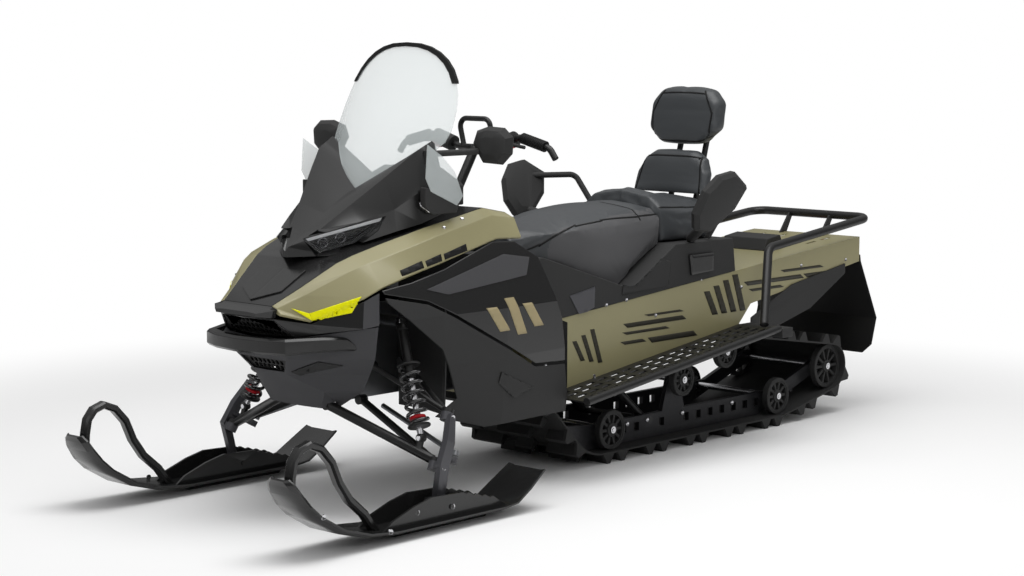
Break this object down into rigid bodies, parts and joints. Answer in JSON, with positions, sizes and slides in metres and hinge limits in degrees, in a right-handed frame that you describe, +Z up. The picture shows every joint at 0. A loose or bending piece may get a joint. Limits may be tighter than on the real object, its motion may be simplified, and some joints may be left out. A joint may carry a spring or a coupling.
{
  "type": "snowmobile",
  "caption": "Two-seat utility snowmobile with tan and black bodywork, tall windshield, wide track, rear rack and passenger backrest",
  "frame": {"origin": "on the ground under the middle of the machine's length and width", "axes": "+X forward, +Y to the rider's left, +Z up"},
  "size_m": [3.324, 1.146, 1.459],
  "materials": {
    "tan_panel": "satin",
    "black_plastic": "matte",
    "gloss_black": "gloss",
    "grey_plastic": "matte",
    "black_steel": "satin",
    "grey_casting": "satin",
    "bare_aluminium": "satin",
    "rail_metal": "satin",
    "spring_steel": "brushed",
    "wheel_plastic": "matte",
    "track_rubber": "matte",
    "flap_rubber": "matte",
    "grip_rubber": "matte",
    "trim_rubber": "satin",
    "seat_vinyl": "satin",
    "clear_shield": "clear",
    "lamp_lens": "clear",
    "red_lens": "gloss",
    "engine_grey": "cast"
  },
  "bodies": {
    "chassis": {"backrest": "seat_vinyl", "backrest_post": "black_steel", "belly_pan": "grey_plastic", "bulkhead": "bare_aluminium", "dash": "black_plastic", "deck_box": "black_plastic", "deflectors": "clear_shield", "drive_axle": "rail_metal", "driver_seat": "seat_vinyl", "ducts": "gloss_black", "engine": "engine_grey", "fender_liners": "black_plastic", "front_bumper": "black_steel", "headlamp_shroud": "black_plastic", "headlamps": "lamp_lens", "headrest": "seat_vinyl", "hood": "black_plastic", "hood_panel_left": "tan_panel", "hood_panel_right": "tan_panel", "lower_arms": "black_steel", "lower_panel_left": "black_plastic", "lower_panel_right": "black_plastic", "mirrors": "black_plastic", "nose_fascia": "black_plastic", "nose_grille": "black_plastic", "passenger_grips": "black_plastic", "passenger_seat": "seat_vinyl", "rack_braces": "black_plastic", "rear_rack": "black_steel", "running_board_left": "black_steel", "running_board_right": "black_steel", "seat_base": "black_plastic", "shocks": "spring_steel", "side_panel_left": "gloss_black", "side_panel_right": "gloss_black", "skid_arms": "rail_metal", "skid_rails": "rail_metal", "skid_wheels": "wheel_plastic", "snow_flap": "flap_rubber", "tail_lamp": "red_lens", "tow_hitch": "black_steel", "track": "track_rubber", "tunnel": "tan_panel", "upper_arms": "black_steel", "windshield": "clear_shield", "windshield_trim": "trim_rubber"},
    "steering_bar": {"handlebar": "black_steel", "bar_grips": "grip_rubber", "bar_controls": "black_plastic"},
    "spindle_body_left": {"spindle_left": "grey_casting"},
    "spindle_body_right": {"spindle_right": "grey_casting"},
    "ski_body_left": {"ski_left": "black_plastic", "ski_loop_left": "black_plastic"},
    "ski_body_right": {"ski_right": "black_plastic", "ski_loop_right": "black_plastic"},
    "tie_rod_body_left": {"tie_rod_left": "bare_aluminium"},
    "tie_rod_body_right": {"tie_rod_right": "bare_aluminium"}
  },
  "joints": [
    {"name": "steering_turn", "type": "hinge", "parent": "chassis", "child": "steering_bar", "pos_m": [0.35, 0, 1.108], "axis": [-0.5299, 0, 0.848], "range_deg": [-35, 35]},
    {"name": "spindle_turn_left", "type": "hinge", "parent": "chassis", "child": "spindle_body_left", "pos_m": [1.026, 0.476, 0.182], "axis": [-0.4726, -0.1368, 0.8706], "range_deg": [-30, 30]},
    {"name": "ski_pitch_left", "type": "hinge", "parent": "spindle_body_left", "child": "ski_body_left", "pos_m": [1.017, 0.485, 0.066], "axis": [0, 1, 0], "range_deg": [-20, 15]},
    {"name": "tie_rod_slide_left", "type": "slide", "parent": "chassis", "child": "tie_rod_body_left", "axis": [0, 1, 0], "range_m": [-0.04, 0.04]},
    {"name": "spindle_turn_right", "type": "hinge", "parent": "chassis", "child": "spindle_body_right", "pos_m": [1.026, -0.476, 0.182], "axis": [-0.4726, 0.1368, 0.8706], "range_deg": [-30, 30]},
    {"name": "ski_pitch_right", "type": "hinge", "parent": "spindle_body_right", "child": "ski_body_right", "pos_m": [1.017, -0.485, 0.066], "axis": [0, 1, 0], "range_deg": [-20, 15]},
    {"name": "tie_rod_slide_right", "type": "slide", "parent": "chassis", "child": "tie_rod_body_right", "axis": [0, 1, 0], "range_m": [-0.04, 0.04]}
  ],
  "couplings": [
    {"joint": "spindle_turn_left", "follows": "steering_turn", "ratio": 0.85},
    {"joint": "tie_rod_slide_left", "follows": "steering_turn", "m_per_rad": -0.063},
    {"joint": "spindle_turn_right", "follows": "steering_turn", "ratio": 0.85},
    {"joint": "tie_rod_slide_right", "follows": "steering_turn", "m_per_rad": -0.063}
  ]
}
